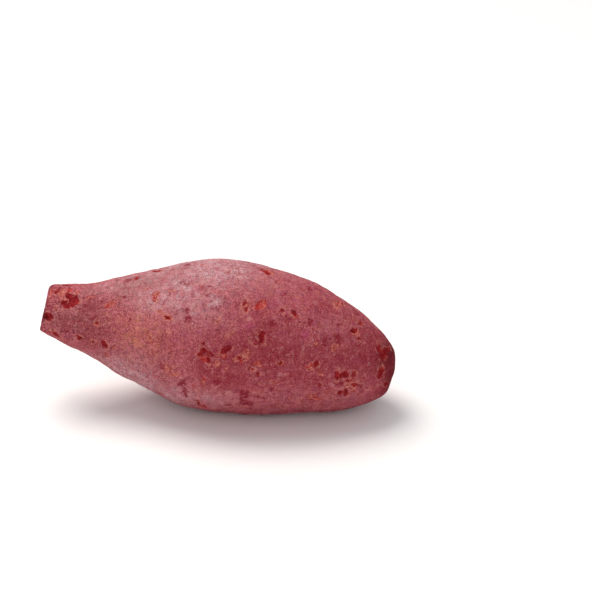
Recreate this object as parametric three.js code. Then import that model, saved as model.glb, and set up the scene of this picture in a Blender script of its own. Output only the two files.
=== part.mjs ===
// Purple sweet potato: one whole root, trimmed at the neck, lying on its belly.
// Millimetres, +Z up. +X runs along the root from the cut neck to the blunt tip.
// The origin is on the ground, in the middle of the root's footprint.

import * as THREE from 'three';

// Middle line of the root, from the centre of the cut neck to the tip: along, sideways, height.
// The neck rises clear of the ground and leans a little to the front.
const MIDLINE = [
  [-73, -3.8, 41.6],
  [-50, -1.0, 36.0],
  [-25, 0.0, 32.2],
  [0, 0.0, 30.9],
  [25, 0.0, 28.0],
  [50, 0.4, 21.3],
  [70, 1.6, 13.1],
];

// Mean radius of the root at fractions of the middle line, before the tip is rounded off.
const GIRTH = [
  [0.0, 9.9],
  [0.07, 13.0],
  [0.16, 16.5],
  [0.26, 22.5],
  [0.37, 28.4],
  [0.48, 31.9],
  [0.6, 31.5],
  [0.72, 28.7],
  [0.84, 25.0],
  [1.0, 23.0],
];

const TIP_BLUNTNESS = 9.5; // power of the curve that closes the tip: the higher, the blunter
const CUT_RIM = 0.6; // rounding of the edge of the cut neck

// The cross-section is not quite round: lobes around it, as a share of the radius,
// turned in degrees, and twisting in degrees from neck to tip.
const LOBES = [
  { count: 2, height: 0.018, turn: 20, twist: 0 },
  { count: 3, height: 0.012, turn: 75, twist: -23 },
];

// Shallow swellings and dips of the skin: millimetres along the middle line from the cut,
// degrees around it (0 front, 90 top), reach and height in millimetres.
const SWELLS = [
  { along: 12, around: 112, reach: 6, height: -0.5 },
  { along: 33, around: 112, reach: 8, height: 0.9 },
  { along: 48, around: 114, reach: 8, height: 0.4 },
  { along: 91, around: 115, reach: 7, height: -0.7 },
  { along: 104, around: 113, reach: 8, height: 0.3 },
  { along: 118, around: 113, reach: 9, height: 0.3 },
  { along: 45, around: -67, reach: 8, height: -0.6 },
  { along: 58, around: -68, reach: 8, height: 0.9 },
  { along: 85, around: -66, reach: 8, height: -0.3 },
  { along: 103, around: -66, reach: 9, height: 0.3 },
  { along: 46, around: 192, reach: 18, height: -1.6 },
  { along: 80, around: 180, reach: 22, height: 1.4 },
  { along: 110, around: 216, reach: 16, height: -1.2 },
  { along: 127, around: 166, reach: 12, height: 0.7 },
];

const RINGS = 64; // cross-sections along the root
const SIDES = 48; // corners of each cross-section

const rootMaterial = new THREE.MeshStandardMaterial({
  color: 0x9a4c58,
  roughness: 0.7,
  metalness: 0,
});

const midline = new THREE.CatmullRomCurve3(
  MIDLINE.map((point) => new THREE.Vector3(...point)),
  false,
  'catmullrom',
);
midline.arcLengthDivisions = 600;
const rootLength = midline.getLength();

const girth = new THREE.CubicInterpolant(
  GIRTH.map(([fraction]) => fraction),
  GIRTH.map(([, radius]) => radius),
  1,
);

// Radius before lobes and swellings; it closes to nothing at the tip along a blunt curve.
function meanRadius(fraction) {
  const closing = Math.sqrt(1 - Math.pow(fraction, TIP_BLUNTNESS));
  return girth.evaluate(fraction)[0] * closing;
}

function lobeFactor(fraction, angle) {
  let factor = 1;
  for (const { count, height, turn, twist } of LOBES) {
    const phase = THREE.MathUtils.degToRad(turn + twist * fraction);
    factor += height * Math.cos(count * (angle - phase));
  }
  return factor;
}

function swellHeight(fraction, angle, radius) {
  let total = 0;
  for (const { along, around, reach, height } of SWELLS) {
    const turn = angle - THREE.MathUtils.degToRad(around);
    const sideways = Math.atan2(Math.sin(turn), Math.cos(turn)) * radius;
    const lengthways = fraction * rootLength - along;
    total += height * Math.exp(-(sideways ** 2 + lengthways ** 2) / reach ** 2);
  }
  return total;
}

// One cross-section, square to the middle line. Angle 0 faces the front (-Y), 90 degrees is up.
function ringPoints(fraction, inset) {
  const centre = midline.getPointAt(fraction);
  const forward = midline.getTangentAt(fraction);
  const front = new THREE.Vector3().crossVectors(forward, new THREE.Vector3(0, 0, 1)).normalize();
  const up = new THREE.Vector3().crossVectors(front, forward);
  const radius = meanRadius(fraction);
  const points = [];
  for (let side = 0; side < SIDES; side += 1) {
    const angle = (side / SIDES) * 2 * Math.PI;
    const reach = radius * lobeFactor(fraction, angle) + swellHeight(fraction, angle, radius) - inset;
    const point = centre.clone();
    point.addScaledVector(front, reach * Math.cos(angle));
    point.addScaledVector(up, reach * Math.sin(angle));
    points.push(point);
  }
  return points;
}

// Rings from the cut to the tip, closer together towards the tip, where the root closes.
function rootRings() {
  const rings = [ringPoints(0, CUT_RIM), ringPoints(CUT_RIM / rootLength, 0)];
  for (let step = 1; step < RINGS; step += 1) {
    rings.push(ringPoints(Math.sin((step / RINGS) * (Math.PI / 2)), 0));
  }
  return rings;
}

function rootGeometry() {
  const rings = rootRings();
  const points = [midline.getPointAt(0), ...rings.flat(), midline.getPointAt(1)];
  const tip = points.length - 1;
  const triangles = [];
  const corner = (ring, side) => 1 + ring * SIDES + (side % SIDES);
  for (let side = 0; side < SIDES; side += 1) {
    triangles.push(0, corner(0, side), corner(0, side + 1));
    for (let ring = 0; ring < rings.length - 1; ring += 1) {
      const near = corner(ring, side);
      const nearNext = corner(ring, side + 1);
      const far = corner(ring + 1, side);
      const farNext = corner(ring + 1, side + 1);
      triangles.push(near, far, nearNext);
      triangles.push(nearNext, far, farNext);
    }
    triangles.push(corner(rings.length - 1, side + 1), corner(rings.length - 1, side), tip);
  }

  // The belly is pressed flat where it bears on the ground.
  const positions = points.flatMap((point) => [point.x, point.y, Math.max(point.z, 0)]);
  const geometry = new THREE.BufferGeometry();
  geometry.setAttribute('position', new THREE.Float32BufferAttribute(positions, 3));
  geometry.setIndex(triangles);

  geometry.computeBoundingBox();
  const middle = geometry.boundingBox.getCenter(new THREE.Vector3());
  geometry.translate(-middle.x, -middle.y, 0);
  geometry.computeVertexNormals();
  return geometry;
}

const root = new THREE.Mesh(rootGeometry(), rootMaterial);
root.name = 'sweet_potato';

const part = new THREE.Group();
part.add(root);

export default part;
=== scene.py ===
import math

import bmesh
import bpy
import numpy as np
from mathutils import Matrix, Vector, noise
from mathutils.bvhtree import BVHTree


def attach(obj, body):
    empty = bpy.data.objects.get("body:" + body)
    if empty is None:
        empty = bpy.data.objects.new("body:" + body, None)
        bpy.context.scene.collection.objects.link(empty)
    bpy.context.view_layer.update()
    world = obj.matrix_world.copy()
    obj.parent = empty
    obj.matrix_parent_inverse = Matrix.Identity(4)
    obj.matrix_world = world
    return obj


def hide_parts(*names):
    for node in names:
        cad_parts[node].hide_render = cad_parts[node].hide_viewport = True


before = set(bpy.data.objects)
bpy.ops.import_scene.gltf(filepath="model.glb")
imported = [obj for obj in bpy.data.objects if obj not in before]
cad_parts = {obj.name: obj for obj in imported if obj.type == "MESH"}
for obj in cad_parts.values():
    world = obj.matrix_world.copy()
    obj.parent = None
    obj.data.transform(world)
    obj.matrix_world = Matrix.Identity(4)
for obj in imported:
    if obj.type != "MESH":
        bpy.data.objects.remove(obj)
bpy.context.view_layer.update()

# ---------------------------------------------------------------------------------------------
# Camera. A long lens from in front, a little above the root and towards its blunt end, so that
# the cut face of the neck just turns out of sight. It aims past the root, to the upper right.

MM = 0.001  # sizes below are in millimetres, and Blender's are in metres
CAMERA_DISTANCE = 850
CAMERA_RISE = math.radians(24.5)  # above the level line
CAMERA_TURN = math.radians(6.0)  # from straight in front towards the blunt end
CAMERA_LENS = 127.1
CAMERA_AIM = Vector((32.4, 0.0, 49.3))

sight = Vector((
    -math.sin(CAMERA_TURN) * math.cos(CAMERA_RISE),
    math.cos(CAMERA_TURN) * math.cos(CAMERA_RISE),
    -math.sin(CAMERA_RISE),
))
camera_data = bpy.data.cameras.new("camera")
camera_data.lens = CAMERA_LENS
camera_data.sensor_width = 36.0
camera_data.clip_start = 0.05
camera_data.clip_end = 20.0
camera = bpy.data.objects.new("camera", camera_data)
camera.location = (CAMERA_AIM - sight * CAMERA_DISTANCE) * MM
camera.rotation_euler = sight.to_track_quat("-Z", "Y").to_euler()
bpy.context.scene.collection.objects.link(camera)
bpy.context.scene.camera = camera
bpy.context.scene.view_settings.view_transform = "Standard"


# ---------------------------------------------------------------------------------------------
# Studio floor and light. A sheet of white card under the root, a white room around it, a large
# soft lamp high over the neck and a little behind it, and a weaker one in front.

FLOOR_REACH = 6.0
CARD_WHITE = "#f2f1f0"
CARD_FELT = 1.11  # the felt of paper fibres, drawn coarser than it is so that it shows
ROOM_WHITE = "#fbfcff"
WINDOW_LIGHT = "#fffaf4"
FRONT_LIGHT = "#ffffff"


def linear(hex_colour):
    """An sRGB colour such as "#a05560" as linear red, green, blue and 1."""
    parts = [int(hex_colour[i : i + 2], 16) / 255 for i in (1, 3, 5)]
    return [p / 12.92 if p <= 0.04045 else ((p + 0.055) / 1.055) ** 2.4 for p in parts] + [1.0]


def add(tree, kind, inputs=None, **settings):
    """Adds a node with its settings and links, and gives back its outputs.

    An input given as another node's output is linked to it, and any other is set.
    """
    node = tree.nodes.new(kind)
    for name, value in settings.items():
        setattr(node, name, value)
    for key, value in (inputs or {}).items():
        if isinstance(value, bpy.types.NodeSocket):
            tree.links.new(value, node.inputs[key])
        else:
            node.inputs[key].default_value = value
    return node.outputs


def new_material(name):
    """A material, and its tree with nothing in it yet."""
    material = bpy.data.materials.new(name)
    material.use_nodes = True
    material.node_tree.nodes.clear()
    return material, material.node_tree


def mesh_object(name, points, faces):
    """An object with its mesh, in the scene."""
    mesh = bpy.data.meshes.new(name)
    mesh.from_pydata([tuple(p) for p in points], [], [tuple(f) for f in faces])
    mesh.update()
    made = bpy.data.objects.new(name, mesh)
    bpy.context.scene.collection.objects.link(made)
    return made


# White uncoated card: bright, dull, with a faint felt of paper fibres.
card, card_tree = new_material("matte white card")
card_place = add(card_tree, "ShaderNodeTexCoord")["Object"]
card_felt = add(
    card_tree,
    "ShaderNodeTexNoise",
    {"Vector": card_place, "Scale": 1 / (CARD_FELT * MM), "Detail": 3.0},
)["Fac"]
card_bump = add(
    card_tree, "ShaderNodeBump", {"Height": card_felt, "Strength": 0.05, "Distance": 0.2 * MM}
)["Normal"]
card_shader = add(
    card_tree,
    "ShaderNodeBsdfPrincipled",
    {"Base Color": linear(CARD_WHITE), "Roughness": 0.85, "Normal": card_bump},
)["BSDF"]
add(card_tree, "ShaderNodeOutputMaterial", {"Surface": card_shader})

floor = mesh_object(
    "floor",
    [(x * FLOOR_REACH, y * FLOOR_REACH, 0.0) for x, y in ((-1, -1), (1, -1), (1, 1), (-1, 1))],
    [(0, 1, 2, 3)],
)
floor.data.materials.append(card)

world = bpy.data.worlds.new("white room")
world.use_nodes = True
world_tree = world.node_tree
world_tree.nodes.clear()
# The room is a little dimmer past the blunt end.
room_way = add(world_tree, "ShaderNodeTexCoord")["Generated"]
room_side = add(world_tree, "ShaderNodeSeparateXYZ", {"Vector": room_way})["X"]
room_light = add(
    world_tree,
    "ShaderNodeMapRange",
    {"Value": room_side, "From Min": -0.2, "From Max": 0.9, "To Min": 0.58, "To Max": 0.48},
    interpolation_type="SMOOTHSTEP",
)["Result"]
room = add(
    world_tree, "ShaderNodeBackground", {"Color": linear(ROOM_WHITE), "Strength": room_light}
)["Background"]
add(world_tree, "ShaderNodeOutputWorld", {"Surface": room})
bpy.context.scene.world = world


def soft_lamp(name, place, size, power, colour):
    """A square lamp of this size in metres, facing the root."""
    lamp = bpy.data.lights.new(name, "AREA")
    lamp.shape = "SQUARE"
    lamp.size = size
    lamp.energy = power
    lamp.color = linear(colour)[:3]
    made = bpy.data.objects.new(name, lamp)
    made.location = place
    made.rotation_euler = (Vector((0, 0, 0.03)) - made.location).to_track_quat("-Z", "Y").to_euler()
    bpy.context.scene.collection.objects.link(made)


soft_lamp("window_lamp", (-0.4, 0.3, 1.1), 0.8, 13.0, WINDOW_LIGHT)
soft_lamp("front_lamp", (0.3, -1.5, 0.9), 1.0, 6.0, FRONT_LIGHT)


# ---------------------------------------------------------------------------------------------
# The root. One whole sweet potato, grown as one piece: a thin rose-brown skin over magenta
# flesh, which shows only where the neck was cut across. The CAD solid gives its form. A finer
# skin is laid over it here, ring by ring from the cut to the tip.

RINGS = 290  # rings of points along the skin
SIDES = 300  # points in each ring
CUT_RINGS = 18  # rings across the cut face, middle to rim
RIM_HEIGHT = 1.3  # how far the rounding of the cut's rim reaches along the skin
RIM_STEPS = 4  # rings in that rounding
RIM_WORN = 2.0  # how much further it reaches at the top of the neck
FAN_PLACE = 0.8  # share of the length from which the rays fan out to close the tip
LEAN_FADES = 15  # the rings lose the lean of the cut over this distance
SMOOTH_OVER = 2.2  # the facets of the solid are smoothed over this distance
NECK_REACH = 6  # what is special to the neck's skin fades over this distance from the cut
RIM_BAND = 1.2  # and what is special to the rim, over this

root_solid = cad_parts["sweet_potato"]
shape = bmesh.new()
shape.from_mesh(root_solid.data)
bmesh.ops.remove_doubles(shape, verts=shape.verts, dist=1e-6)
poles = sorted(shape.verts, key=lambda v: len(v.link_edges))[-2:]
cut_pole, tip_pole = sorted(poles, key=lambda v: v.co.x)
cut_middle = np.array(cut_pole.co)
tip_end = np.array(tip_pole.co)
cut_outward = np.array(sum((f.normal for f in cut_pole.link_faces), Vector()).normalized())
root_length = np.linalg.norm(tip_end - cut_middle)
axis = (tip_end - cut_middle) / root_length
front = np.cross(axis, (0, 0, 1))
front /= np.linalg.norm(front)
up = np.cross(front, axis)
solid_tree = BVHTree.FromBMesh(shape)
shape.free()

turns = np.arange(SIDES) * 2 * math.pi / SIDES
spokes = np.outer(np.cos(turns), front) + np.outer(np.sin(turns), up)
cut_lean = np.zeros(SIDES)


def skin_point(start, way):
    """How far the solid's surface is from a point inside it, and the surface's direction."""
    place, normal, _, distance = solid_tree.ray_cast(Vector(start), Vector(way))
    if place is None:
        return 0.0, way
    return distance, np.array(normal)


def ray_from(reach, side):
    """Where a ray starts and which way it goes: square to the axis, then fanning to the tip."""
    straight = FAN_PLACE * root_length
    if reach < straight:
        lean = cut_lean[side] * math.exp(-reach / (LEAN_FADES * MM))
        return cut_middle + axis * (reach + lean), spokes[side]
    turn = (reach - straight) / (root_length - straight) * math.pi / 2
    return cut_middle + axis * straight, spokes[side] * math.cos(turn) + axis * math.sin(turn)


# The cut isn't square to the axis, so the first rings lean with it.
neck_radius = skin_point(*ray_from(3 * MM, 0))[0]
cut_lean = -neck_radius * (spokes @ cut_outward) / (axis @ cut_outward)
# Its rim is worn rounder at the top.
cut_lean += RIM_WORN * MM * np.exp(-(((np.degrees(turns) - 105) / 40) ** 2))

# Rings are spaced evenly over the skin, as measured along four lines.
fine_reaches = np.linspace(RIM_HEIGHT * MM, root_length * 0.9999, 500)
skin_steps = np.zeros(len(fine_reaches) - 1)
for side in (0, SIDES // 4, SIDES // 2, 3 * SIDES // 4):
    line = []
    for reach in fine_reaches:
        start, way = ray_from(reach, side)
        line.append(start + way * skin_point(start, way)[0])
    skin_steps += np.linalg.norm(np.diff(line, axis=0), axis=1) / 4
skin_run = np.concatenate([[0], np.cumsum(skin_steps)])
reaches = np.interp(np.linspace(0, skin_run[-1], RINGS), skin_run, fine_reaches)

starts = np.zeros((RINGS, SIDES, 3))
ways = np.zeros((RINGS, SIDES, 3))
distances = np.zeros((RINGS, SIDES))
for ring, reach in enumerate(reaches):
    for side in range(SIDES):
        starts[ring, side], ways[ring, side] = ray_from(reach, side)
        distances[ring, side] = skin_point(starts[ring, side], ways[ring, side])[0]


def smoothed(field, spread):
    """A Gaussian blur over rings and sides, closed around the root and through its tip."""
    reach = int(spread * 3)
    weights = np.exp(-((np.arange(-reach, reach + 1) / spread) ** 2) / 2)
    weights /= weights.sum()
    across = sum(w * np.roll(field, k - reach, axis=1) for k, w in enumerate(weights))
    past_tip = np.roll(across[::-1], SIDES // 2, axis=1)[:reach]
    before_cut = 2 * across[:1] - across[reach:0:-1]
    padded = np.concatenate([before_cut, across, past_tip])
    return sum(w * padded[k : k + RINGS] for k, w in enumerate(weights))


distances = smoothed(distances, SMOOTH_OVER * MM * RINGS / skin_run[-1])
skin_points = starts + ways * distances[..., None]
skin_points[..., 2] = np.maximum(skin_points[..., 2], 0)

# The rim turns over from the skin to the cut face, and the face closes to its middle.
rim = skin_points[0]
lift = (cut_middle - rim) @ cut_outward
inward = cut_middle - rim
inward -= np.outer(inward @ cut_outward, cut_outward)
inward /= np.linalg.norm(inward, axis=1)[:, None]
cut_points = []
for step in range(1, RIM_STEPS + 1):
    turn = step / RIM_STEPS * math.pi / 2
    outwards = np.outer(lift * math.sin(turn), cut_outward)
    cut_points.append(rim + outwards + inward * (lift * (1 - math.cos(turn)))[:, None])
face_edge = cut_points[-1]
for step in range(1, CUT_RINGS):
    share = step / CUT_RINGS
    cut_points.append(face_edge * (1 - share) + cut_middle * share)

rings = np.concatenate([np.array(cut_points)[::-1], skin_points])
points = np.concatenate([[cut_middle], rings.reshape(-1, 3), [tip_end]])
tip_ring = 1 + (len(rings) - 1) * SIDES

# How far each ring is from the middle of the cut, measured over the surface. The middle counts
# as ring 0 here, and the tip as the last.
middles = np.broadcast_to(cut_middle, (1, SIDES, 3))
tips = np.broadcast_to(tip_end, (1, SIDES, 3))
all_rings = np.concatenate([middles, rings, tips])
ring_steps = np.linalg.norm(np.diff(all_rings, axis=0), axis=2).mean(axis=1)
surface_run = np.concatenate([[0], np.cumsum(ring_steps)])

# The root's map: its skin as a strip, with the length across and the girth up, and its cut face
# as a disc in the corner beside the strip.
MAP_EDGE = 0.002
STRIP_STARTS = 0.115
DISC_MIDDLE = 0.056
DISC_RADIUS = 0.053


def strip_place(ring, side):
    """A place on the skin, as it lies on the map."""
    share = (surface_run[ring] - surface_run[CUT_RINGS]) / (surface_run[-1] - surface_run[CUT_RINGS])
    across = STRIP_STARTS + (1 - MAP_EDGE - STRIP_STARTS) * share
    return across, MAP_EDGE + (1 - 2 * MAP_EDGE) * side / SIDES


def disc_place(ring, side):
    """A place on the cut face, as it lies on the map."""
    radius = DISC_RADIUS * surface_run[ring] / surface_run[CUT_RINGS]
    turn = 2 * math.pi * side / SIDES
    return DISC_MIDDLE + radius * math.cos(turn), DISC_MIDDLE + radius * math.sin(turn)


faces = []
map_places = []
for side in range(SIDES):
    faces.append((0, 1 + side, 1 + (side + 1) % SIDES))
    map_places += [disc_place(0, side), disc_place(1, side), disc_place(1, side + 1)]
for ring in range(1, len(rings)):
    here = 1 + (ring - 1) * SIDES
    map_place = disc_place if ring < CUT_RINGS else strip_place
    for side in range(SIDES):
        after = (side + 1) % SIDES
        faces.append((here + side, here + SIDES + side, here + SIDES + after, here + after))
        map_places += [map_place(ring, side), map_place(ring + 1, side)]
        map_places += [map_place(ring + 1, side + 1), map_place(ring, side + 1)]
for side in range(SIDES):
    faces.append((tip_ring + (side + 1) % SIDES, tip_ring + side, len(points) - 1))
    map_places += [strip_place(len(rings), side + 1), strip_place(len(rings), side)]
    map_places.append(strip_place(len(rings) + 1, side + 0.5))

grown = mesh_object("grown_form", points, faces)
grown.data.polygons.foreach_set("use_smooth", [True] * len(grown.data.polygons))
grown.data.uv_layers.new(name="OFBake").uv.foreach_set("vector", np.ravel(map_places))


def store(name, values):
    """Keeps one number for each point of the root, for its relief and its materials."""
    grown.data.attributes.new(name, "FLOAT", "POINT").data.foreach_set(
        "value", np.asarray(values, dtype=np.float32)
    )


ring_of_point = np.repeat(np.arange(1, len(rings) + 1), SIDES)
ring_of_point = np.concatenate([[0], ring_of_point, [len(rings) + 1]])
on_cut = ring_of_point < CUT_RINGS + RIM_STEPS / 2
cut_share = np.clip(ring_of_point / CUT_RINGS, 0, 1)
from_cut = np.maximum((points - cut_middle) @ -cut_outward, 0)
near_cut = np.exp(-from_cut / (NECK_REACH * MM))
from_rim = surface_run[ring_of_point] - surface_run[CUT_RINGS + RIM_STEPS // 2]
store("cut", on_cut)
store("cut_share", cut_share)
store("near_rim", np.exp(-np.abs(from_rim) / (RIM_BAND * MM)))


# ---------------------------------------------------------------------------------------------
# The marks on the skin: sunken red scars of healed scurf and wireworm, places rubbed through to
# the orange-pink layer under the skin, wine-red stains, and dry pale flecks. They grow with the
# root or come from its handling, and no two roots have the same.

# Each mark is an oval: millimetres along the root from the cut, degrees around it from the front
# up over the top, its half length and half width, and its turn from the root's length.
DARK_PITS = (
    (2, 2, 1.6, 1.3, 80), (9, 58, 0.6, 0.5, -65), (16, 59, 0.5, 0.4, -70), (21.5, 62, 0.5, 0.4, -65),
    (23, -16.5, 0.4, 0.3, 50), (28.5, -13.5, 0.6, 0.4, 75), (30, 118, 0.7, 0.3, -70),
    (67.5, 20, 0.7, 0.6, 25), (87, 89, 0.9, 0.4, 85), (89.5, 34, 0.8, 0.5, -80),
    (125, 22, 0.9, 0.5, 20), (127.5, 3, 0.9, 0.4, -70), (129, 23.5, 0.7, 0.4, 85),
    (143.5, 14, 1.1, 0.3, -35),
)

FRESH_SCARS = (
    (9.5, 75.5, 1.2, 1, 25), (23.5, 18.5, 0.7, 0.6, -80), (26, 47.5, 0.8, 0.6, -80),
    (44, 57.5, 1.1, 0.4, 85), (51, 38.5, 1.3, 0.6, -25), (69, 13.5, 1.6, 1.2, 30),
    (70.5, -4, 1.8, 0.5, -80), (72, -40, 2, 1.3, -30), (76.5, 18, 1, 0.8, 15),
    (83.5, 16.5, 0.9, 0.9, -80), (85.5, 55, 0.8, 0.8, 70), (86.5, 57.5, 2, 1.4, 30),
    (87.5, 59.5, 1.4, 0.9, -10), (90, 17.5, 1, 0.8, 0), (101, 56.5, 0.8, 0.7, 85),
    (111, 24, 1.6, 0.4, 20), (116.5, -10, 1.7, 0.6, 0), (117.5, 87, 1.4, 0.5, 80),
    (125.5, 64, 1.6, 1.3, 40),
)

PALE_FLECKS = (
    (2, -10, 0.9, 0.6, 40), (40, 51, 3.7, 0.3, 30), (45.5, 64.5, 1.4, 0.6, 80),
    (53.5, 36.5, 0.8, 0.8, 30), (58.5, 48.5, 1.4, 0.5, 0), (61.5, -8.5, 1.1, 0.7, 85),
    (65.5, -35, 1.5, 0.6, 85), (66, -23.5, 2.2, 0.4, -80), (69.5, 24, 1.1, 0.3, -70),
    (76.5, -6.5, 1.6, 0.3, 60), (77, 74, 0.9, 0.7, 90), (81.5, -12.5, 1.6, 1.1, 85),
    (83, 46.5, 1, 0.7, 45), (85, -21, 1.2, 1, 90), (90.5, -9.5, 1, 0.7, -80),
    (90.5, 30.5, 1.2, 0.3, 15), (93.5, 89.5, 1.5, 1, 60), (94.5, 39, 1.4, 0.3, 5),
    (101.5, 14, 1.1, 0.7, -5), (106.5, 34.5, 1.6, 0.4, -80), (108, 73.5, 1.3, 0.8, 75),
    (116.5, 78.5, 1.1, 0.5, 75), (118, 79, 1.1, 0.6, 60), (121, 9, 1.4, 0.9, -30),
    (134, 39, 1.2, 0.3, -80),
)

RUBBED = (
    (2, 64.5, 2.1, 0.5, 85), (5, -31, 1, 0.5, 65), (6.5, 29.5, 1.9, 1.1, 0),
    (6.5, 56.5, 1.1, 0.9, -65), (7, 69, 2, 1.9, -80), (9, 51, 0.8, 0.5, 5),
    (12, 72.5, 1, 0.7, -70), (19.5, 63, 1.3, 0.6, 0),
    (23.5, 18, 1.2, 1.1, -85), (26, 51.5, 1.5, 1.1, -70), (28.5, 52, 1.1, 0.6, 85),
    (30, -25, 1.2, 0.7, 55), (44.5, 59.5, 2.2, 1.3, 85), (48, 42.5, 1.2, 0.6, -30),
    (50.5, 62, 1.3, 0.5, 5), (51, 39, 2.3, 1.2, -25), (55, -6, 1.7, 1.1, 75),
    (59, -7.5, 2.2, 0.9, 30), (67, 13.5, 0.9, 0.7, -85), (70.5, -6.5, 1.5, 0.7, -85),
    (74.5, 11.5, 1.6, 1, -80), (74.5, 18.5, 1, 1, 30), (81, 54.5, 1, 0.6, 75),
    (81.5, 17.5, 1.3, 1, 15), (84, 54.5, 1.1, 0.9, -80), (85, 22.5, 2.5, 1.3, -80),
    (86.5, 57.5, 2.4, 1.9, 30), (86.5, 90.5, 3.4, 1.8, -50), (88, 90.5, 1.9, 1.1, 85),
    (90, 17.5, 1.4, 1.2, 0), (96, 55.5, 0.9, 0.7, 25), (99.5, 21.5, 1, 0.6, -75),
    (101, 55, 0.9, 0.7, 85), (111, 21, 1.5, 0.9, 0),
    (114.5, -8.5, 2.1, 1.2, -5), (116, 18, 1.2, 1, -50), (116.5, 82, 3.5, 1.8, 70),
    (118.5, 40, 0.9, 0.7, 10), (119, 44, 1.4, 1.3, 15), (126.5, 63, 2, 1.7, 40),
    (128.5, 16.5, 2.6, 1.1, -80), (129, 7, 2.3, 1, -15),
)

SCARS = (
    (3, 5.5, 2, 1.6, 20), (4.5, 71.5, 1.5, 0.5, 70), (7.5, -31.5, 1.8, 0.9, -50),
    (8, 42.5, 1.1, 0.7, 15), (8, 93.5, 2.2, 0.8, 5), (9.5, 61.5, 1.4, 1.2, -60),
    (10, 39, 1.3, 1.2, 0), (12, 50, 2, 1.9, -55), (12.5, 57, 1.3, 0.8, -75),
    (17, -17, 0.9, 0.7, 55), (23, -16.5, 0.8, 0.6, 50), (23.5, 18.5, 0.5, 0.4, -80),
    (27.5, -10.5, 1, 0.8, 55), (28.5, -13, 1.2, 0.8, 75), (35, 91, 1.2, 0.9, -80),
    (42.5, 100, 1.9, 0.7, -25), (45, 58.5, 1.1, 0.3, 80), (51, 38.5, 1.2, 0.4, -25),
    (67, 15.5, 0.8, 0.7, 65), (67.5, 24, 0.7, 0.6, -85), (68, 19, 1.4, 1.3, 30),
    (70, -34.5, 2.5, 0.6, -80), (70.5, 14, 1.3, 0.4, -75),
    (71, 18.5, 1.1, 0.5, -40), (76, 22, 1.3, 1, 60), (77.5, 24.5, 1.3, 1, 60),
    (80, 56, 1.1, 0.6, 75), (81.5, 52.5, 0.9, 0.6, 75), (83, 19, 0.9, 0.7, 45),
    (86, 90.5, 2.6, 1.1, -45), (87, 89, 1.2, 0.6, 85), (88, 13, 0.7, 0.4, -20),
    (89.5, 31.5, 1.4, 0.3, 15), (89.5, 36.5, 2.2, 1.2, -85), (91, 9.5, 0.8, 0.6, -80),
    (95.5, 57.5, 0.7, 0.6, 0),
    (99, 21, 0.8, 0.8, -55), (100, 58, 1.2, 0.9, -55),
    (113, 26.5, 1, 0.8, 75), (116.5, 8.5, 0.7, 0.5, -70), (119, 89, 0.9, 0.4, 75),
    (122.5, 19.5, 2, 1.2, -70), (125, 0.5, 1.1, 0.8, -65),
    (125, 21.5, 1.8, 1.3, 15), (125.5, 64.5, 1.4, 1.1, 45), (127, 15.5, 0.8, 0.6, -60),
    (127, 77.5, 0.8, 0.4, 70), (127.5, 1, 2, 0.9, -70), (128, 59, 1, 0.5, 30),
    (128, 76, 0.9, 0.5, 65), (129, 23, 1.2, 0.7, 85),
    (130, 12, 1.2, 0.8, 0), (137, 60.5, 1.3, 1.1, 20), (139.5, 27.5, 1, 0.7, -20),
    (139.5, 57, 2.7, 2, 35), (140, 34.5, 1.9, 1.4, -85), (140.5, 67.5, 2.6, 0.7, 50),
    (143, 14.5, 1.8, 0.8, -30),
)

STAINS = (
    (32.5, 91.5, 2.2, 0.8, -10), (53, -4.5, 1.2, 0.8, 70), (53.5, 70.5, 1.1, 0.5, 15),
    (54, 96, 1.7, 1.2, -40), (56, 68, 1.1, 0.5, 10), (58.5, 45.5, 1.3, 0.9, -70),
    (59.5, 39.5, 1.4, 1.2, 70), (62, -14, 2.2, 0.8, 65), (63.5, -19.5, 1.9, 0.8, -75),
    (64.5, -27, 2.4, 0.6, -80), (75.5, -3.5, 1.7, 1.4, 5), (82, -28.5, 1.1, 0.8, 25),
    (83, 93.5, 1.4, 0.8, -55), (87.5, -11, 2.1, 2, 70), (87.5, -16.5, 1.8, 1.4, 90),
    (89, -21.5, 2.6, 1.9, -5), (93, -12, 2.2, 0.4, -15), (93, 47.5, 1.4, 1.2, -5),
    (95, 70.5, 1.1, 0.7, -85), (98, -1.5, 1.1, 0.9, -30), (104.5, 85.5, 1.6, 1, 75),
    (107.5, 56, 1.5, 1.3, 85), (114.5, 42.5, 1.3, 0.5, 15), (115, 47, 2, 0.6, 30),
    (119, 52.5, 1.5, 1.2, 35), (119, 62.5, 1.1, 0.8, 45), (120, 49, 1.9, 1.7, 30),
    (124, 13, 2, 1.6, -15), (131.5, 12, 1.1, 0.8, -45),
)

# The skin's colour changes in broad soft patches: ovals again, the last number their strength.
# Pale patches of dust, which on the top and along the lower front edge are also painted sheen.
DUST_AND_SHEEN = (
    (25, 86, 10, 6, -10, 0.6), (40, -50, 19, 15, 50, 0.9), (40, -48, 22, 8, 5, 0.9),
    (46, -48, 14, 11, 75, 1), (46, 59, 15, 9, 0, 0.8), (54, 67, 9, 5, -35, 0.9),
    (55, 104, 38, 13, 0, 0.9), (58, 52, 18, 10, 0, 0.6), (60, -40, 14, 11, 50, 0.7),
    (60, 215, 16, 10, -20, 0.5), (64, 85, 23, 15, 0, 0.9), (68, 55, 5, 4, 5, 0.8),
    (74, -25, 12, 8, 20, 0.5), (80, 150, 22, 12, 10, 0.5), (85, 76, 14, 10, -5, 0.3),
    (102, -10, 10, 5, 0, 0.2), (117, 61, 9, 6, 20, 0.2), (128, -8, 9, 5, 5, 0.2),
)

# Deeper red patches. Around the blunt end and along the lower front they are also painted shade.
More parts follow.
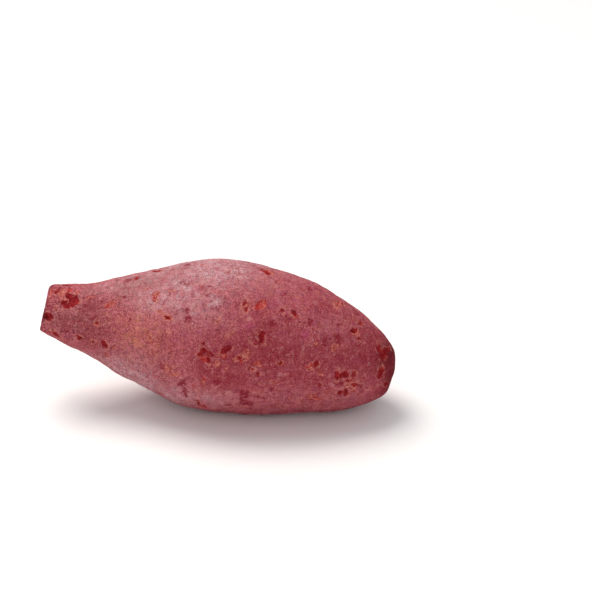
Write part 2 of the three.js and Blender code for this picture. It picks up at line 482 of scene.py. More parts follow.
CRIMSON_AND_SHADE = (
    (2, 16, 13, 3, 85, 0.7), (8, 2, 8, 6, 20, 0.7), (10, 265, 16, 11, 0, 0.6),
    (12, 185, 18, 13, 0, 0.7), (20, 6, 14, 7, 5, 0.8), (20, 36, 6, 6, 0, 1),
    (22, -6, 10, 8, 35, 0.8), (30, 210, 18, 9, 0, 0.6), (33, -11, 9, 4, 15, 0.5),
    (51, -10, 11, 4, -85, 0.3), (71, 8, 8, 8, 0, 0.8), (76, 46, 4, 4, 0, 0.3),
    (80, -1, 12, 7, 15, 0.8), (80, 262, 30, 14, 0, 0.5), (83, 22, 18, 10, 5, 0.8),
    (88, 18, 4, 3, 10, 1), (91, 57, 8, 4, 15, 0.2), (92, 30, 15, 7, -75, 1),
    (95, 190, 26, 16, 0, 0.7), (102, 70, 7, 5, 60, 0.2), (103, 31, 12, 8, 10, 0.8),
    (108, 14, 14, 6, 5, 0.7), (111, 71, 8, 7, 50, 0.5), (114, 25, 35, 14, 5, 0.6),
    (124, 72, 8, 6, 55, 0.4), (130, 160, 16, 14, 0, 0.6), (134, 51, 17, 14, 45, 0.8),
    (138, 77, 16, 5, 70, 0.8), (141, 220, 12, 12, 0, 0.9), (142, 33, 8, 5, -30, 0.8),
    (142, 64, 13, 9, 65, 1), (145, -8, 15, 4, -75, 0.6), (145, 20, 11, 11, 0, 1),
)

DUSKY = (
    (8, 6, 10, 7, 20, 0.7), (12, 260, 18, 12, 0, 0.7), (15, 180, 22, 14, 0, 0.8),
    (18, 26, 12, 11, 90, 0.8), (19, 76, 7, 5, 0, 0.8), (37, 78, 17, 9, 5, 0.9),
    (51, 89, 11, 9, -30, 0.6), (122, 262, 14, 12, 0, 0.5),
)

PINK = (
    (64.5, 66.5, 1.5, 1.5, 0, 0.5), (83.5, 42.5, 2, 1.5, 10, 0.9), (91.5, 61.5, 2.5, 1.5, 20, 0.6),
    (106.5, 45.5, 2, 2, 0, 0.8),
)

RUSTY = (
    (27, 29, 6, 4, 10, 0.5), (38, 13, 6, 4, 25, 1), (42, 18, 17, 12, 15, 0.7),
    (48, 180, 16, 10, 15, 0.6), (50, 21, 6, 5, 20, 0.5), (55, -5, 4, 3, 50, 0.5),
    (61, 33, 2.5, 2, 10, 0.5), (71, 40, 3, 2, 10, 0.7), (72, -16, 8, 4, 30, 0.3),
    (77, 35, 3, 2, 10, 0.6), (85, 20, 5, 4, 10, 0.3), (105, 230, 12, 9, 0, 0.4),
    (107, 31, 2, 1.5, 5, 0.6), (118, 120, 10, 8, 0, 0.4), (121, 46, 3, 3, 0, 0.4),
    (137, 70, 4, 1.5, 50, 0.6), (140, 48, 2.5, 2, 5, 0.5),
)

# The blunt tip is deep red all round its end, and painted shade darkens it further.
TIP_RED_AND_SHADE = (
    (145.5, 40, 9, 9, 0, 1), (142.4, 64.2, 12, 7, 65, 0.9), (142.4, 30, 8, 5, -30, 0.5),
)


def oval_place(along, around, turn):
    """An oval's centre on the skin, and the directions of its length and its width."""
    around, turn = math.radians(around), math.radians(turn)
    start = cut_middle + axis * along * MM
    way = front * math.cos(around) + up * math.sin(around)
    distance, normal = skin_point(start, way)
    lengthwise = axis - normal * (normal @ axis)
    lengthwise /= np.linalg.norm(lengthwise)
    sideways = np.cross(normal, lengthwise)
    return (
        start + way * distance,
        lengthwise * math.cos(turn) + sideways * math.sin(turn),
        sideways * math.cos(turn) - lengthwise * math.sin(turn),
    )


OUTSIDE = -3.0  # the least value kept, millimetres outside a mark
SPREAD = 0.1  # each oval is this much larger all round
MERGE = 0.3  # ovals closer than about this run together
BENDS = ((2.6, 0.5), (1.1, 0.3))  # marks' edges wander: over each distance, by so much
EDGE_SEED = 5  # without a seed, this noise would start from the clock and differ each time
noise.seed_set(EDGE_SEED)


def edge_bend(point):
    """How far the outline of a mark wanders at a point, so that no mark is a plain oval."""
    bend = Vector()
    for over, by in BENDS:
        bend += noise.noise_vector(Vector(point) / (over * MM)) * by * MM
    return bend


bent_points = points + np.array([edge_bend(p) for p in points])


def depth_inside(ovals):
    """Millimetres that each point lies inside the nearest of these ovals, and less outside."""
    depth = np.full(len(points), OUTSIDE)
    for along, around, half_length, half_width, turn in ovals:
        middle, lengthwise, sideways = oval_place(along, around, turn)
        half_length, half_width = half_length + SPREAD, half_width + SPREAD
        offset = (bent_points - middle) / MM
        near = np.flatnonzero((offset**2).sum(axis=1) < (half_length + 3) ** 2)
        share = np.hypot(
            offset[near] @ lengthwise / half_length, offset[near] @ sideways / half_width
        )
        inside = (1 - share) * min(half_length, half_width)
        depth[near] = MERGE * np.logaddexp(depth[near] / MERGE, inside / MERGE)
    return depth


def soft_zone(ovals):
    """Strength from 0 to 1 of patches without an edge. The last number of each is its peak."""
    strength = np.zeros(len(points))
    for along, around, half_length, half_width, turn, peak in ovals:
        middle, lengthwise, sideways = oval_place(along, around, turn)
        offset = (points - middle) / MM
        share = (offset @ lengthwise / half_length) ** 2 + (offset @ sideways / half_width) ** 2
        depthwise = np.cross(lengthwise, sideways)
        share += (offset @ depthwise / max(half_length, half_width)) ** 2
        strength = np.maximum(strength, peak * np.exp(-share))
    return strength


# The back and the underside carry marks of the same kinds, scattered in small groups.
HIDDEN_GROUPS = 52
scatter = np.random.default_rng(23)
marks = {
    "scar": list(SCARS),
    "fresh_scar": list(FRESH_SCARS),
    "dark_pit": list(DARK_PITS),
    "rubbed": list(RUBBED),
    "stain": list(STAINS),
    "pale": list(PALE_FLECKS),
}
for group in range(HIDDEN_GROUPS):
    along = scatter.uniform(5, 138)
    around = scatter.uniform(112, 296)
    kind = scatter.choice(["scar", "scar", "fresh_scar", "stain", "rubbed"])
    size = float(np.clip(scatter.lognormal(0.15, 0.35), 0.6, 2.4))
    turn = scatter.uniform(-90, 90)
    for lobe in range(scatter.integers(1, 5)):
        marks[kind].append((
            along + scatter.normal(0, 1.3 * size),
            around + scatter.normal(0, 2.2 * size),
            size * scatter.uniform(0.6, 1.5),
            size * scatter.uniform(0.35, 0.9),
            turn + scatter.normal(0, 25),
        ))
    if scatter.random() < 0.5:
        marks["rubbed"].append((along, around, size * 1.5, size * 1.1, turn))
    if scatter.random() < 0.5:
        marks["pale"].append((
            along + scatter.normal(0, 3),
            around + scatter.normal(0, 4),
            scatter.uniform(0.4, 0.9),
            scatter.uniform(0.3, 0.6),
            turn,
        ))

# Between the larger marks the front has small flecks, stains and pits, most of them crosswise.
SMALL_MARKS = 110
SMALL_KINDS = ["pale"] * 4 + ["stain"] * 3 + ["rubbed"] * 2 + ["dark_pit"]
for mark in range(SMALL_MARKS):
    kind = scatter.choice(SMALL_KINDS)
    marks[kind].append((
        scatter.uniform(5, 140),
        scatter.uniform(-55, 105),
        scatter.uniform(0.4, 0.9),
        scatter.uniform(0.3, 0.6),
        scatter.normal(90, 25),
    ))

mark_depths = {name: depth_inside(ovals) for name, ovals in marks.items()}
zones = {
    "rusty": soft_zone(RUSTY),
    "pink": soft_zone(PINK),
    "crimson_and_shade": soft_zone(CRIMSON_AND_SHADE),
    "tip": soft_zone(TIP_RED_AND_SHADE),
    "dust_and_sheen": soft_zone(DUST_AND_SHEEN),
    "dusky": soft_zone(DUSKY),
}
for name, values in {**mark_depths, **zones}.items():
    store(name, values)
# The skin's grain is strongest near the neck, and a little stronger where the dust and painted sheen
# lie.
store("grain_strength", 0.68 + 0.85 * near_cut**0.25 + 0.1 * zones["dust_and_sheen"])


# ---------------------------------------------------------------------------------------------
# The relief of the skin: slow lumps, finer unevenness, growth wrinkles around the root that are
# deepest at the neck, sunken scars, and the slit-like pores from which side roots once came.

# Its own swellings and hollows, as ovals, the last number being their height in millimetres.
SWELLINGS = (
    (36, -66, 5, 12, 0, 0.5), (65, -44, 9, 14, 0, 0.35), (81, -57, 4, 14, 0, -0.5),
    (91, -55, 6, 14, 0, 0.25), (136, -46, 7, 14, 0, -0.7), (144, -35, 3.5, 12, 0, 0.75),
    (11, 119, 12, 16, 0, -0.4), (25, 120, 4, 14, 0, 0.5),
    (135, 103, 4.5, 12, 0, -0.6), (144, 97, 3.5, 10, 0, 0.5), (146, 83, 3, 10, 0, -0.3),
    (121, -52, 5, 12, 0, 0.25),
)


def eased(values, low, high):
    """0 below low and 1 above high, with a smooth step between."""
    share = np.clip((values - low) / (high - low), 0, 1)
    return share**2 * (3 - 2 * share)


ROLLED_EDGE = 0.12  # the healed skin around a scar stands up by this much
DISH_DEPTH = 0.7  # a cut neck dries from its middle, which leaves its face slightly dished
swelling = sum(soft_zone([(*oval, 1.0)]) * height for *oval, height in SWELLINGS)
rolled = eased(mark_depths["scar"], -1.0, -0.3) * (1 - eased(mark_depths["scar"], -0.3, 0.2))
store("form", swelling + ROLLED_EDGE * rolled)
store("wrinkled", 0.35 + 0.8 * near_cut)
store("relief_share", np.where(on_cut, 0.25, 1.0))
store("dish", np.where(on_cut, DISH_DEPTH * (cut_share**2 - 1), 0.0))

PORE_SQUEEZE = 2.0  # a pore is this many times longer around the root than along it
PORES_TRIED = 60000.0  # per square metre, before those too near each other are left out

relief = bpy.data.node_groups.new("root skin relief", "GeometryNodeTree")
relief.is_modifier = True
relief.interface.new_socket("Geometry", in_out="INPUT", socket_type="NodeSocketGeometry")
RELIEF_INPUTS = {
    "Lump Height": 0.55,
    "Lump Width": 19.0,
    "Ripple Height": 0.32,
    "Ripple Width": 6.0,
    "Grain Height": 0.16,
    "Grain Width": 1.8,
    "Wrinkle Height": 0.22,
    "Wrinkle Width": 2.4,
    "Scar Depth": 0.55,
    "Fresh Scar Depth": 0.3,
    "Rubbed Depth": 0.16,
    "Stain Depth": 0.14,
    "Dark Pit Depth": 0.5,
    "Pore Depth": 0.3,
    "Pore Floor": 0.225,
    "Pore Reach": 1.2,
    "Pore Spacing": 6.5,
    "Chip Height": 0.45,
    "Chip Width": 1.7,
    "Seed": 7,
}
relief_sockets = {}
for name in RELIEF_INPUTS:
    kind = "NodeSocketInt" if name == "Seed" else "NodeSocketFloat"
    relief_sockets[name] = relief.interface.new_socket(name, in_out="INPUT", socket_type=kind)
relief.interface.new_socket("Geometry", in_out="OUTPUT", socket_type="NodeSocketGeometry")
relief_in = add(relief, "NodeGroupInput")
surface_place = add(relief, "GeometryNodeInputPosition")["Position"]
# Which marks are sunken, how deep, and between which of their own depths they sink.
SUNKEN = {
    "scar": ("Scar Depth", -0.25, 0.8),
    "fresh_scar": ("Fresh Scar Depth", -0.25, 0.8),
    "rubbed": ("Rubbed Depth", -0.2, 0.5),
    "stain": ("Stain Depth", -0.3, 0.9),
    "dark_pit": ("Dark Pit Depth", -0.2, 0.6),
}
kept = {}
for name in ("form", "wrinkled", "relief_share", "dish", "near_rim", "cut", *SUNKEN):
    kept[name] = add(
        relief, "GeometryNodeInputNamedAttribute", {"Name": name}, data_type="FLOAT"
    )["Attribute"]

# Smooth unevenness of each kind, above and below the surface. Wrinkles run around the root, so
# their noise is stretched across its length, and they are deepest at the neck. Chips are what
# the knife left along the rim of the cut.
across_place = add(
    relief, "ShaderNodeVectorMath", {0: surface_place, 1: (1.0, 0.16, 0.16)}, operation="MULTIPLY"
)[0]
waves = {}
for kind, place, share in (
    ("Lump", surface_place, 1.0),
    ("Ripple", surface_place, 1.0),
    ("Grain", surface_place, 1.0),
    ("Wrinkle", across_place, kept["wrinkled"]),
    ("Chip", surface_place, kept["near_rim"]),
):
    per_metre = add(
        relief, "ShaderNodeMath", {0: 1 / MM, 1: relief_in[kind + " Width"]}, operation="DIVIDE"
    )[0]
    texture = add(
        relief, "ShaderNodeTexNoise", {"Vector": place, "Scale": per_metre, "Detail": 2.0}
    )["Fac"]
    swing = add(
        relief, "ShaderNodeMath", {0: texture, 1: 2.0, 2: -1.0}, operation="MULTIPLY_ADD"
    )[0]
    for factor in (relief_in[kind + " Height"], share):
        swing = add(relief, "ShaderNodeMath", {0: swing, 1: factor}, operation="MULTIPLY")[0]
    waves[kind] = swing

# Pores lie at scattered points at least one spacing apart. Each is deepest within its floor, and
# fades out at its reach.
pore_spacing = add(
    relief, "ShaderNodeMath", {0: relief_in["Pore Spacing"], 1: MM}, operation="MULTIPLY"
)[0]
pores = add(
    relief,
    "GeometryNodeDistributePointsOnFaces",
    {
        "Mesh": relief_in["Geometry"],
        "Distance Min": pore_spacing,
        "Density Max": PORES_TRIED,
        "Seed": relief_in["Seed"],
    },
    distribute_method="POISSON",
)["Points"]
nearest_pore = add(relief, "GeometryNodeSampleNearest", {"Geometry": pores}, domain="POINT")["Index"]
pore_place = add(
    relief,
    "GeometryNodeSampleIndex",
    {"Geometry": pores, "Value": surface_place, "Index": nearest_pore},
    data_type="FLOAT_VECTOR",
    domain="POINT",
)["Value"]
pore_offset = add(
    relief, "ShaderNodeVectorMath", {0: surface_place, 1: pore_place}, operation="SUBTRACT"
)[0]
pore_squeezed = add(
    relief,
    "ShaderNodeVectorMath",
    {0: pore_offset, 1: (PORE_SQUEEZE / MM, 1 / MM, 1 / MM)},
    operation="MULTIPLY",
)[0]
pore_distance = add(
    relief, "ShaderNodeVectorMath", {0: pore_squeezed}, operation="LENGTH"
)["Value"]
pore_chance = add(
    relief, "FunctionNodeRandomValue", {"ID": nearest_pore, "Seed": relief_in["Seed"]}
)["Value"]
pore_strength = add(
    relief,
    "ShaderNodeMapRange",
    {"Value": pore_chance, "From Min": 0.3, "From Max": 1.0},
    interpolation_type="SMOOTHSTEP",
)["Result"]
pore = add(
    relief,
    "ShaderNodeMapRange",
    {
        "Value": pore_distance,
        "From Min": relief_in["Pore Reach"],
        "From Max": relief_in["Pore Floor"],
        "To Max": pore_strength,
    },
    interpolation_type="SMOOTHSTEP",
)["Result"]
pore_depth = add(
    relief, "ShaderNodeMath", {0: pore, 1: relief_in["Pore Depth"]}, operation="MULTIPLY"
)[0]

# Everything is added up in millimetres above the smooth form.
relief_steps = [("ADD", waves[kind]) for kind in ("Lump", "Ripple", "Grain", "Wrinkle")]
for mark, (size, low, high) in SUNKEN.items():
    sunk = add(
        relief,
        "ShaderNodeMapRange",
        {"Value": kept[mark], "From Min": low, "From Max": high, "To Max": relief_in[size]},
        interpolation_type="SMOOTHSTEP",
    )["Result"]
    relief_steps.append(("SUBTRACT", sunk))
relief_steps += [
    ("SUBTRACT", pore_depth),
    ("MULTIPLY", kept["relief_share"]),
    ("ADD", kept["dish"]),
    ("ADD", waves["Chip"]),
    ("MULTIPLY", MM),
]
height = kept["form"]
for operation, amount in relief_steps:
    height = add(relief, "ShaderNodeMath", {0: height, 1: amount}, operation=operation)[0]

outward = add(relief, "GeometryNodeInputNormal")["Normal"]
shift = add(relief, "ShaderNodeVectorMath", {0: outward, "Scale": height}, operation="SCALE")[0]
lifted = add(
    relief, "GeometryNodeSetPosition", {"Geometry": relief_in["Geometry"], "Offset": shift}
)["Geometry"]
# Nothing sinks below the floor: the belly stays flat where the root lies on it.
floored = add(
    relief, "ShaderNodeVectorMath", {0: surface_place, 1: (-1.0, -1.0, 0.0)}, operation="MAXIMUM"
)[0]
rested = add(relief, "GeometryNodeSetPosition", {"Geometry": lifted, "Position": floored})["Geometry"]
with_pores = add(
    relief,
    "GeometryNodeStoreNamedAttribute",
    {"Geometry": rested, "Name": "pore", "Value": pore},
    data_type="FLOAT",
    domain="POINT",
)["Geometry"]


# ---------------------------------------------------------------------------------------------
# The skin's finish. Sweet potato skin is a thin layer of cork: dull, dry and finely grained. It is
# rose to crimson, with deeper red patches that are partly painted shade, a paler dusty bloom on top
# that is partly painted sheen, mauve and rusty patches, and fine cross streaks.

SKIN_MID = "#a64550"
SKIN_DEEP = "#8f2e3a"
SKIN_ROSE = "#b8686f"
SKIN_MAUVE = "#9c4a60"
SKIN_WARM = "#b1594a"
CRIMSON_DEEP_AND_SHADE = "#841b2a"
TIP_DARK_AND_SHADE = "#640c18"
DUST_AND_SHEEN_PALE = "#ccb1b4"
RUST = "#c06c5c"
RUST_FLAKE = "#d0825c"
PINK_FLUSH = "#ae3f68"
DUSK_BROWN = "#8c6863"
GRAIN_PALE = "#dd8089"
GRAIN_DEEP = "#5e2228"
STAIN_WINE = "#80202f"
SPECK_DARK = "#70161c"
SPECK_PALE = "#ca8788"
SCAR_RED = "#962329"
SCAR_CORE = "#7a1119"
SCAR_RIM = "#c4786c"
FRESH_RED = "#a32e2f"
FRESH_PINK = "#bf5f58"
PIT_DARK = "#5c0d12"
RUBBED_ORANGE = "#ad5045"
RUBBED_PINK = "#bb645e"
RUBBED_EDGE = "#8c2c2a"
RAW_PALE = "#dc9284"
FLECK_PALE = "#bf7a7a"
PORE_BROWN = "#6e2226"
DRY_EDGE = "#64202a"
SKIN_ROUGHNESS = (0.55, 0.8)
SKIN_IOR = 1.45

skin, skin_tree = new_material("sweet potato skin")
skin_place = add(skin_tree, "ShaderNodeTexCoord")["Object"]
# Streaks are drawn out around the root, and fibres along it.
around_place = add(
    skin_tree, "ShaderNodeVectorMath", {0: skin_place, 1: (1.0, 0.25, 0.25)}, operation="MULTIPLY"
)[0]
along_place = add(
    skin_tree, "ShaderNodeVectorMath", {0: skin_place, 1: (0.25, 1.0, 1.0)}, operation="MULTIPLY"
)[0]
# Each noise has its place, the width of its patches in millimetres, and its detail, roughness
# and distortion. The cork's own grain is finer than half a millimetre. It is drawn coarser, so
# that it shows.
SKIN_NOISE = {
    "broad": (skin_place, 16, 3.0, 0.6, 0.0),
    "patchy": (skin_place, 5.0, 3.0, 0.6, 0.0),
    "hues": (skin_place, 3.6, 4.0, 0.65, 0.5),
    "flakes": (skin_place, 3.1, 3.0, 0.65, 0.4),
    "fine_hues": (skin_place, 1.1, 2.0, 0.6, 0.0),
    "streaks": (around_place, 1.3, 3.0, 0.6, 0.5),
    "fibres": (along_place, 1.0, 3.0, 0.6, 0.5),
    "grain": (skin_place, 1.9, 4.0, 0.75, 0.4),
    "speckle": (skin_place, 0.5, 0.0, 0.5, 0.0),
    "wide_fray": (skin_place, 1.7, 2.0, 0.5, 0.0),
    "fine_fray": (skin_place, 0.7, 2.0, 0.5, 0.0),
}
noises = {}
for name, (place, width, detail, roughness, distortion) in SKIN_NOISE.items():
    noises[name] = add(
        skin_tree,
        "ShaderNodeTexNoise",
        {
            "Vector": place,
            "Scale": 1 / (width * MM),
            "Detail": detail,
            "Roughness": roughness,
            "Distortion": distortion,
        },
    )
fields = {name: made["Fac"] for name, made in noises.items()}
# A noise's colour holds three more fields, unlike each other.
for name in ("hues", "flakes", "fine_hues"):
    three = add(skin_tree, "ShaderNodeSeparateColor", {"Color": noises[name]["Color"]})
    fields[name + " 1"], fields[name + " 2"], fields[name + " 3"] = three
for name in ("pore", "near_rim", "grain_strength", *zones, *marks):
    fields[name] = add(skin_tree, "ShaderNodeAttribute", attribute_name=name)["Fac"]


def lay(tree, below, above, most, *shares):
    """Lays one colour over another. A colour given as text is an sRGB hex value.

    Most is the part of it that the upper colour covers. Each share is a field and two values:
    the cover grows from nothing at the first to its most at the second.
    """
    for field, low, high in shares:
        most = add(
            tree,
            "ShaderNodeMapRange",
            {"Value": field, "From Min": low, "From Max": high, "To Max": most},
            interpolation_type="SMOOTHSTEP",
        )["Result"]
    below = linear(below) if isinstance(below, str) else below
    above = linear(above) if isinstance(above, str) else above
    return add(tree, "ShaderNodeMix", {"Factor": most, 6: below, 7: above}, data_type="RGBA")[2]


# The dust and painted sheen on top is thinner in spots, and the dry edge of the cut is broken.
dust_and_sheen_spots = add(
    skin_tree,
    "ShaderNodeMapRange",
    {"Value": fields["hues 3"], "From Min": 0.42, "From Max": 0.6, "To Min": 0.84, "To Max": 1.14},
    interpolation_type="SMOOTHSTEP",
)["Result"]
spotted_dust_and_sheen = add(
    skin_tree, "ShaderNodeMath", {0: fields["dust_and_sheen"], 1: dust_and_sheen_spots}, operation="MULTIPLY"
)[0]
dry_edge = add(
    skin_tree, "ShaderNodeMath", {0: fields["near_rim"], 1: fields["patchy"]}, operation="MULTIPLY"
)[0]
# Flakes of rust lie where the skin is rusty.
rust_flakes = add(
    skin_tree,
    "ShaderNodeMapRange",
    {"Value": fields["hues 2"], "From Min": 0.47, "From Max": 0.6, "To Max": fields["rusty"]},
    interpolation_type="SMOOTHSTEP",
)["Result"]

# Every layer has its colour, the most that it covers, and its share. The skin's own colours
# come first, then its grain, and last what dulls or deepens both.
SKIN_LAYERS = (
    (SKIN_DEEP, 1.0, (fields["broad"], 0.4, 0.65)),
    (SKIN_ROSE, 0.8, (fields["patchy"], 0.44, 0.64)),
    (SKIN_MAUVE, 0.6, (fields["hues 1"], 0.5, 0.6)),
    (SKIN_WARM, 0.6, (fields["hues 2"], 0.5, 0.6)),
    # Deeper red, partly painted shade.
    (CRIMSON_DEEP_AND_SHADE, 0.65, (fields["crimson_and_shade"], 0.0, 1.0)),
    (RUST, 1.0, (fields["rusty"], 0.0, 1.0)),
    (PINK_FLUSH, 1.0, (fields["pink"], 0.0, 1.0)),
    (DUSK_BROWN, 0.75, (fields["dusky"], 0.0, 1.0)),
    # Dust and painted sheen, palest on the top.
    (DUST_AND_SHEEN_PALE, 0.9, (spotted_dust_and_sheen, 0.0, 1.0)),
)
GRAIN_LAYERS = (
    (RUST_FLAKE, 1.0, (rust_flakes, 0.1, 0.7)),
    (SKIN_MAUVE, 0.48, (fields["flakes 1"], 0.5, 0.6)),
    (SKIN_ROSE, 0.42, (fields["flakes 2"], 0.5, 0.6)),
    (SKIN_DEEP, 0.3, (fields["flakes 3"], 0.52, 0.62)),
    (SKIN_MAUVE, 0.35, (fields["fine_hues 1"], 0.5, 0.62)),
    (SKIN_WARM, 0.35, (fields["fine_hues 2"], 0.5, 0.62)),
    (GRAIN_PALE, 0.35, (fields["streaks"], 0.5, 0.75)),
    (GRAIN_DEEP, 0.35, (fields["streaks"], 0.5, 0.3)),
    (GRAIN_PALE, 0.4, (fields["fibres"], 0.5, 0.75)),
    (GRAIN_DEEP, 0.4, (fields["fibres"], 0.5, 0.3)),
    (GRAIN_PALE, 0.3, (fields["grain"], 0.54, 0.68)),
    (GRAIN_DEEP, 0.35, (fields["grain"], 0.46, 0.34)),
    (GRAIN_PALE, 0.4, (fields["speckle"], 0.5, 0.7)),
    (GRAIN_DEEP, 0.45, (fields["speckle"], 0.5, 0.3)),
)
LAST_LAYERS = (
    (DUSK_BROWN, 0.17, (fields["dusky"], 0.0, 1.0)),
    # Deeper red again, partly painted shade.
    (CRIMSON_DEEP_AND_SHADE, 0.46, (fields["crimson_and_shade"], 0.0, 1.0)),
    (DRY_EDGE, 0.7, (dry_edge, 0.2, 0.5)),
)
colour = linear(SKIN_MID)
for layer_colour, most, share in SKIN_LAYERS:
    colour = lay(skin_tree, colour, layer_colour, most, share)
for layer_colour, most, share in GRAIN_LAYERS:
    strength = add(
        skin_tree, "ShaderNodeMath", {0: fields["grain_strength"], 1: most}, operation="MULTIPLY"
    )[0]
    colour = lay(skin_tree, colour, layer_colour, strength, share)
for layer_colour, most, share in LAST_LAYERS:
    colour = lay(skin_tree, colour, layer_colour, most, share)

# Veins are thin lines where a noise passes its middle.
VEIN = 0.02


def vein(field):
    """A vein's two shares, rising to the noise's middle from below and from above."""
    return (field, 0.5 - VEIN, 0.5 - 0.3 * VEIN), (field, 0.5 + VEIN, 0.5 + 0.3 * VEIN)


def specks(spacing, radius, chance):
    """The shares of small round specks, at most one to each cell of this spacing."""
    cells = add(
        skin_tree, "ShaderNodeTexVoronoi", {"Vector": skin_place, "Scale": 1 / (spacing * MM)}
    )
    draws = add(skin_tree, "ShaderNodeSeparateColor", {"Color": cells["Color"]})
    size = add(
        skin_tree, "ShaderNodeMath", {0: draws["Green"], 1: 0.6, 2: 0.4}, operation="MULTIPLY_ADD"
    )[0]
    reach = add(skin_tree, "ShaderNodeMath", {0: cells["Distance"], 1: size}, operation="DIVIDE")[0]
    edge = radius / spacing
    return (reach, edge, 0.6 * edge), (draws["Red"], chance, chance - 0.01)


# The marks' edges are ragged: each depth is frayed by this much.
RAGGEDNESS = {
    "pale": 1.6,
    "stain": 1.6,
    "rubbed edge": 1.0,
    "rubbed": 1.3,
    "scar rim": 1.8,
    "scar": 1.3,
    "fresh_scar": 1.3,
    "dark_pit": 0.8,
}
fine_fray = add(
    skin_tree, "ShaderNodeMath", {0: fields["fine_fray"], 1: 1.1}, operation="SUBTRACT"
)[0]
fray = add(
    skin_tree,
    "ShaderNodeMath",
    {0: fields["wide_fray"], 1: 1.2, 2: fine_fray},
    operation="MULTIPLY_ADD",
)[0]
frayed = {}
for name, amount in RAGGEDNESS.items():
    depth = fields[name.split(" ")[0]]
    frayed[name] = add(
        skin_tree, "ShaderNodeMath", {0: fray, 1: amount, 2: depth}, operation="MULTIPLY_ADD"
    )[0]

rubbed_hue = lay(skin_tree, RUBBED_ORANGE, RUBBED_PINK, 1.0, (fields["grain"], 0.4, 0.6))
rubbed_hue = lay(skin_tree, rubbed_hue, RAW_PALE, 0.7, (fields["speckle"], 0.5, 0.7))
fresh_hue = lay(skin_tree, FRESH_RED, FRESH_PINK, 1.0, (fields["grain"], 0.47, 0.62))
scar_hue = lay(skin_tree, SCAR_CORE, SCAR_RED, 1.0, (fields["grain"], 0.42, 0.62))
scar_hue = lay(skin_tree, scar_hue, FRESH_RED, 0.5, (fields["speckle"], 0.52, 0.7))
MARK_LAYERS = (
    (FLECK_PALE, 0.6, (frayed["pale"], -0.3, 0.4)),
    (SPECK_PALE, 0.5, *vein(fields["hues 1"]), (fields["hues 2"], 0.48, 0.58)),
    (SKIN_DEEP, 0.8, *vein(fields["hues 3"]), (fields["patchy"], 0.46, 0.56)),
    (SPECK_PALE, 0.5, *specks(2.3, 0.5, 0.3)),
    (SPECK_DARK, 0.6, *specks(2.9, 0.55, 0.3)),
    # The tip's deep red, darkened by painted shade.
    (TIP_DARK_AND_SHADE, 0.85, (fields["tip"], 0.1, 0.95)),
    (STAIN_WINE, 0.88, (frayed["stain"], -0.5, 0.5), (fields["fine_hues 3"], 0.32, 0.48)),
    (RUBBED_EDGE, 0.7, (frayed["rubbed edge"], -0.7, -0.2), (fields["hues 3"], 0.45, 0.55)),
    (rubbed_hue, 0.85, (frayed["rubbed"], -0.25, 0.15), (fields["fine_hues 3"], 0.42, 0.52)),
    (SCAR_RIM, 0.65, (frayed["scar rim"], -1.2, -0.6), (fields["grain"], 0.48, 0.58)),
    (fresh_hue, 0.95, (frayed["fresh_scar"], -0.2, 0.15)),
    (scar_hue, 0.95, (frayed["scar"], -0.33, 0.2)),
    (PIT_DARK, 0.65, (frayed["dark_pit"], -0.1, 0.5)),
    (PORE_BROWN, 0.5, (fields["pore"], 0.3, 1.0)),
)
for mark_colour, most, *shares in MARK_LAYERS:
    colour = lay(skin_tree, colour, mark_colour, most, *shares)

# The fine grain of the cork, as heights in millimetres.
FINE_HEIGHTS = {"streaks": 0.3, "grain": 0.4, "speckle": 0.22}
fine_height = 0.0
for name, amount in FINE_HEIGHTS.items():
    fine_height = add(
        skin_tree,
        "ShaderNodeMath",
        {0: fields[name], 1: amount, 2: fine_height},
        operation="MULTIPLY_ADD",
    )[0]
skin_bump = add(
    skin_tree, "ShaderNodeBump", {"Height": fine_height, "Strength": 1.0, "Distance": 1.3 * MM}
)["Normal"]
skin_dullness = add(
    skin_tree,
    "ShaderNodeMapRange",
    {
        "Value": fields["grain"],
        "From Min": 0.3,
        "From Max": 0.7,
        "To Min": SKIN_ROUGHNESS[0],
        "To Max": SKIN_ROUGHNESS[1],
    },
)["Result"]
skin_shader = add(
    skin_tree,
    "ShaderNodeBsdfPrincipled",
    {
        "Base Color": colour,
        "Roughness": skin_dullness,
        "IOR": SKIN_IOR,
        "Specular IOR Level": 0.02,
        "Normal": skin_bump,
    },
)["BSDF"]
add(skin_tree, "ShaderNodeOutputMaterial", {"Surface": skin_shader})


# ---------------------------------------------------------------------------------------------
# The cut neck. Bare flesh, cut across with a knife and since a little dried: magenta, flecked
# with pale starch, with the pale ring of vessels under the rind that all such roots have.

FLESH = "#ad4672"
FLESH_DEEP = "#8a2a54"
FLESH_PALE = "#cc86a2"
RING_PALE = "#cd8a98"
RIND = "#7a2242"
RAY_REACH = 9  # the streaks are as wide here as the noise they are drawn from, in millimetres
WANDER = 0.4  # how far outwards the unevenness moves the ring and the rind on average
VESSEL_RING = 0.83 + WANDER  # its place, where 0 is the middle and 1 the rim
RING_WIDTH = 0.1
RIND_STARTS = 0.9 + WANDER
RIND_FULL = 1.04 + WANDER

flesh, flesh_tree = new_material("cut sweet potato flesh")
flesh_place = add(flesh_tree, "ShaderNodeTexCoord")["Object"]
from_middle = add(flesh_tree, "ShaderNodeAttribute", attribute_name="cut_share")["Fac"]
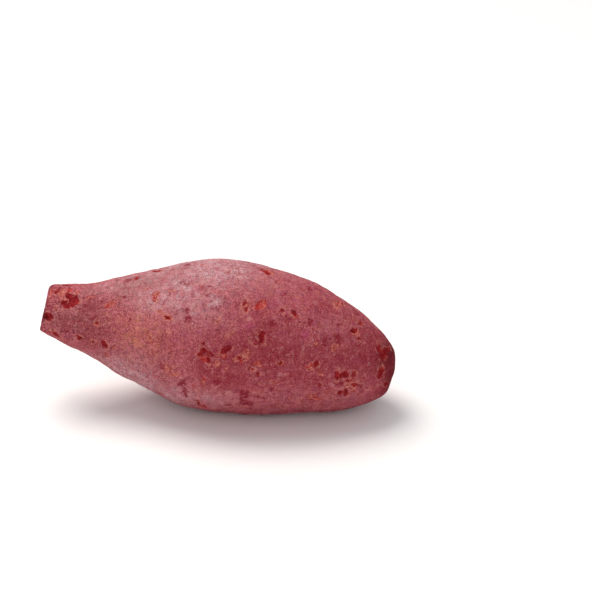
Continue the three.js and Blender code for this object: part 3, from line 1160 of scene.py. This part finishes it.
# Streaks run out from the middle: noise that changes fast around it and slowly away from it.
from_middle_place = add(
    flesh_tree, "ShaderNodeVectorMath", {0: flesh_place, 1: tuple(cut_middle)}, operation="SUBTRACT"
)[0]
ray_way = add(
    flesh_tree, "ShaderNodeVectorMath", {0: from_middle_place}, operation="NORMALIZE"
)[0]
slow_place = add(
    flesh_tree, "ShaderNodeVectorMath", {0: flesh_place, 1: (0.2, 0.2, 0.2)}, operation="MULTIPLY"
)[0]
ray_place = add(
    flesh_tree,
    "ShaderNodeVectorMath",
    {0: ray_way, 1: (RAY_REACH * MM,) * 3, 2: slow_place},
    operation="MULTIPLY_ADD",
)[0]
FLESH_NOISE = {
    "starch": (flesh_place, 1.4, 3.0, 0.65),
    "clouds": (flesh_place, 4.0, 2.0, 0.5),
    "rays": (ray_place, 1.3, 3.0, 0.6),
}
flesh_fields = {}
for name, (place, width, detail, roughness) in FLESH_NOISE.items():
    flesh_fields[name] = add(
        flesh_tree,
        "ShaderNodeTexNoise",
        {"Vector": place, "Scale": 1 / (width * MM), "Detail": detail, "Roughness": roughness},
    )["Fac"]
starch, clouds, rays = flesh_fields.values()
unevenness = clouds
for field, amount in ((starch, 0.35), (rays, 0.25)):
    unevenness = add(
        flesh_tree, "ShaderNodeMath", {0: field, 1: amount, 2: unevenness}, operation="MULTIPLY_ADD"
    )[0]
wandering = add(
    flesh_tree, "ShaderNodeMath", {0: unevenness, 1: 0.5, 2: from_middle}, operation="MULTIPLY_ADD"
)[0]
FLESH_LAYERS = (
    (FLESH_DEEP, 0.8, (clouds, 0.4, 0.6)),
    (FLESH_DEEP, 0.7, (rays, 0.5, 0.35)),
    (FLESH_PALE, 0.5, (rays, 0.52, 0.66)),
    (FLESH_PALE, 0.55, (starch, 0.54, 0.7)),
    (
        RING_PALE,
        0.85,
        (wandering, VESSEL_RING - RING_WIDTH, VESSEL_RING),
        (wandering, VESSEL_RING + RING_WIDTH, VESSEL_RING),
        (rays, 0.4, 0.55),
    ),
    (RIND, 0.85, (wandering, RIND_STARTS, RIND_FULL)),
)
flesh_colour = linear(FLESH)
for layer_colour, most, *shares in FLESH_LAYERS:
    flesh_colour = lay(flesh_tree, flesh_colour, layer_colour, most, *shares)
flesh_bump = add(
    flesh_tree, "ShaderNodeBump", {"Height": unevenness, "Strength": 0.8, "Distance": 0.5 * MM}
)["Normal"]
flesh_shader = add(
    flesh_tree,
    "ShaderNodeBsdfPrincipled",
    {"Base Color": flesh_colour, "Roughness": 0.55, "IOR": 1.4, "Normal": flesh_bump},
)["BSDF"]
add(flesh_tree, "ShaderNodeOutputMaterial", {"Surface": flesh_shader})

# The relief tree ends with the two finishes: skin all over, and flesh on the cut.
whole = add(relief, "GeometryNodeRealizeInstances", {"Geometry": with_pores})["Geometry"]
in_skin = add(relief, "GeometryNodeSetMaterial", {"Geometry": whole, "Material": skin})["Geometry"]
bare = add(
    relief,
    "FunctionNodeCompare",
    {0: kept["cut"], 1: 0.5},
    data_type="FLOAT",
    operation="GREATER_THAN",
)["Result"]
finished = add(
    relief,
    "GeometryNodeSetMaterial",
    {"Geometry": in_skin, "Selection": bare, "Material": flesh},
)["Geometry"]
add(relief, "NodeGroupOutput", {"Geometry": finished})

growth = grown.modifiers.new("root skin relief", "NODES")
growth.node_group = relief
for name, value in RELIEF_INPUTS.items():
    growth[relief_sockets[name].identifier] = value

depsgraph = bpy.context.evaluated_depsgraph_get()
root_mesh = bpy.data.meshes.new_from_object(grown.evaluated_get(depsgraph))
root_mesh.name = "sweet_potato_root"
root = bpy.data.objects.new("sweet_potato_root", root_mesh)
bpy.context.scene.collection.objects.link(root)
bpy.data.objects.remove(grown)

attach(root, "root")
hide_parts("sweet_potato")
